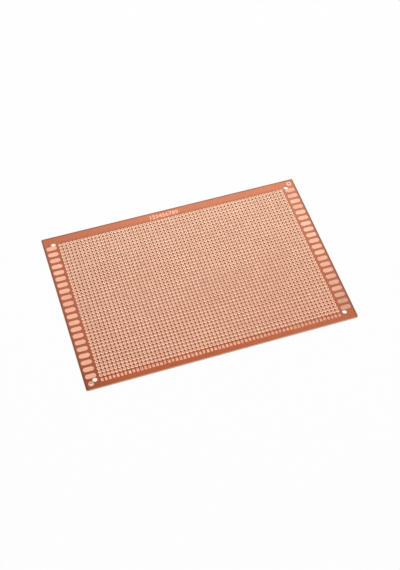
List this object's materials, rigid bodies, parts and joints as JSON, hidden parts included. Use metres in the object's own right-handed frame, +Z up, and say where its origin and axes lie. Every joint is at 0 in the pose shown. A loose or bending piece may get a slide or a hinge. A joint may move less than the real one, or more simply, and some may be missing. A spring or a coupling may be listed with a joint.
{
  "type": "prototype board",
  "caption": "Flat phenolic prototype board with a grid of small drilled holes in round copper pads, oblong pads along both ends and a mounting hole in each corner.",
  "frame": {"origin": "middle of the board's underside", "axes": "+X along the long side, +Y across the board away from the numbered edge, +Z up out of the copper side"},
  "size_m": [0.18, 0.12, 0.0012],
  "materials": {
    "phenolic": "orange-brown phenolic paper laminate, smooth with a low satin sheen",
    "copper": "bare copper foil under a clear flux lacquer, pale pink, softly shining"
  },
  "bodies": {
    "root": {"board": "phenolic", "left_edge_pads": "copper", "right_edge_pads": "copper", "tooling_rings": "copper", "pad_row_01": "copper", "pad_row_02": "copper", "pad_row_03": "copper", "pad_row_04": "copper", "pad_row_05": "copper", "pad_row_06": "copper", "pad_row_07": "copper", "pad_row_08": "copper", "pad_row_09": "copper", "pad_row_10": "copper", "pad_row_11": "copper", "pad_row_12": "copper", "pad_row_13": "copper", "pad_row_14": "copper", "pad_row_15": "copper", "pad_row_16": "copper", "pad_row_17": "copper", "pad_row_18": "copper", "pad_row_19": "copper", "pad_row_20": "copper", "pad_row_21": "copper", "pad_row_22": "copper", "pad_row_23": "copper", "pad_row_24": "copper", "pad_row_25": "copper", "pad_row_26": "copper", "pad_row_27": "copper", "pad_row_28": "copper", "pad_row_29": "copper", "pad_row_30": "copper", "pad_row_31": "copper", "pad_row_32": "copper", "pad_row_33": "copper", "pad_row_34": "copper", "pad_row_35": "copper", "pad_row_36": "copper", "pad_row_37": "copper", "pad_row_38": "copper", "pad_row_39": "copper", "pad_row_40": "copper", "pad_row_41": "copper", "pad_row_42": "copper"}
  },
  "joints": []
}
